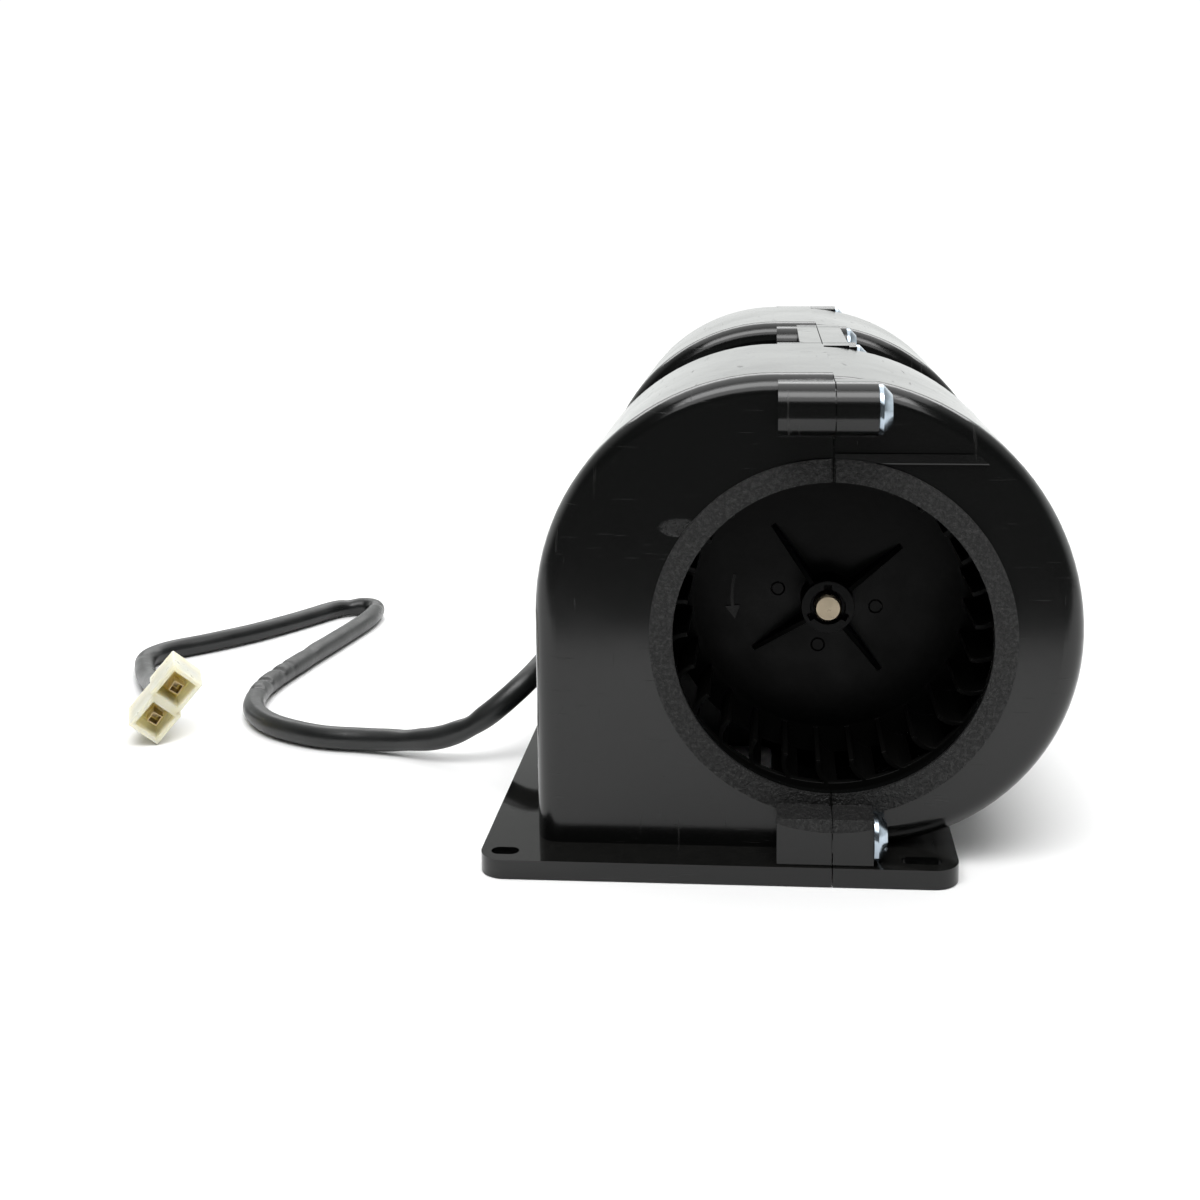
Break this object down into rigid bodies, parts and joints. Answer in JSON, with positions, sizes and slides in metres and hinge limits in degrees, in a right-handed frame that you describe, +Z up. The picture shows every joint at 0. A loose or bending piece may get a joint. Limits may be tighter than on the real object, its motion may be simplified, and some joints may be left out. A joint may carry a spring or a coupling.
{
  "type": "double centrifugal blower",
  "caption": "Twin-scroll centrifugal blower: two moulded scroll casings on one flange, a double-shaft motor between them, squirrel-cage wheels and a lead.",
  "frame": {"origin": "centre of the base flange's underside", "axes": "+Y along the rotor, away from the front inlet; +X to the right seen from the front; +Z up from the flange"},
  "size_m": [0.3319, 0.2882, 0.1351],
  "materials": {
    "casing_plastic": "glossy moulded black ABS with a fine grained inlet collar",
    "zinc_screw": "bright zinc plate",
    "can_steel": "zinc-plated drawn steel",
    "bell_casting": "die-cast, matte",
    "ferrite": "sintered ferrite, matte dark grey",
    "phenolic": "phenolic board",
    "carbon": "graphite",
    "spring_steel": "spring wire",
    "sintered_bronze": "oil-filled sintered bronze",
    "ring_rubber": "moulded rubber",
    "lead_rubber": "moulded rubber",
    "lead_sleeving": "soft black vinyl sleeving",
    "wire_insulation": "vinyl insulation",
    "nylon": "natural ivory nylon, slightly translucent",
    "tinned_contact": "tinned brass",
    "shaft_steel": "ground bright steel",
    "core_steel": "laminated steel",
    "copper_wire": "enamelled copper",
    "commutator_copper": "turned copper",
    "wheel_plastic": "satin black moulded polypropylene",
    "washer_fibre": "vulcanised fibre"
  },
  "bodies": {
    "housing": {"left_casing": "casing_plastic", "right_casing": "casing_plastic", "casing_screws": "zinc_screw", "motor_can": "can_steel", "front_end_bell": "bell_casting", "rear_end_bell": "bell_casting", "field_magnets": "ferrite", "brush_holder": "phenolic", "carbon_brushes": "carbon", "brush_springs": "spring_steel", "motor_tie_screws": "zinc_screw", "front_bearing": "sintered_bronze", "rear_bearing": "sintered_bronze", "front_motor_ring": "ring_rubber", "rear_motor_ring": "ring_rubber", "lead_grommet": "lead_rubber", "lead_sleeve": "lead_sleeving", "lead_wires": "wire_insulation", "connector_housing": "nylon", "connector_terminals": "tinned_contact"},
    "rotor": {"motor_shaft": "shaft_steel", "armature_core": "core_steel", "armature_windings": "copper_wire", "commutator": "commutator_copper", "front_wheel": "wheel_plastic", "rear_wheel": "wheel_plastic", "front_shaft_washer": "washer_fibre", "rear_shaft_washer": "washer_fibre"}
  },
  "joints": [
    {"name": "rotor_spin", "type": "hinge", "parent": "housing", "child": "rotor", "pos_m": [0.0306, 0, 0.0638], "axis": [0, -1, 0], "continuous": true}
  ]
}
